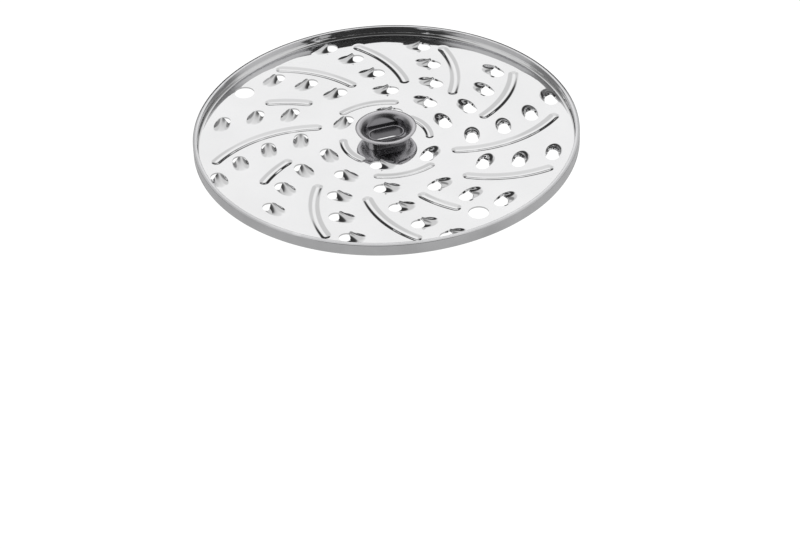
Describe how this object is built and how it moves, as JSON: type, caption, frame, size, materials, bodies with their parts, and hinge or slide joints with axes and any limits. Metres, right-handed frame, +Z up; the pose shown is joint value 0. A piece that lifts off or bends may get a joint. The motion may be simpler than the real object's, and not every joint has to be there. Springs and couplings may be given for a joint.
{
  "type": "food processor grating disc",
  "caption": "Round pressed-steel grating disc with raised scoops in spiral rows, stiffening grooves, a turned-up rim and a flanged drive hub with a long slot.",
  "frame": {"origin": "on the drive axis, in the lowest plane of the part, the underside of the hub's retaining ring", "axes": "+Z up along the drive axis, towards the scoops and the hub's flange; +X along the drive slot's long axis"},
  "size_m": [0.14, 0.14, 0.0069],
  "materials": {
    "mirror_steel": "mirror-polished stainless steel",
    "satin_steel": "satin stainless steel",
    "hub_steel": "drawn stainless steel with a dull sheen"
  },
  "bodies": {
    "root": {"grating_disc": "mirror_steel", "rim_ring": "satin_steel", "hub_collar": "hub_steel", "drive_insert": "hub_steel", "hub_retaining_ring": "satin_steel"}
  },
  "joints": []
}
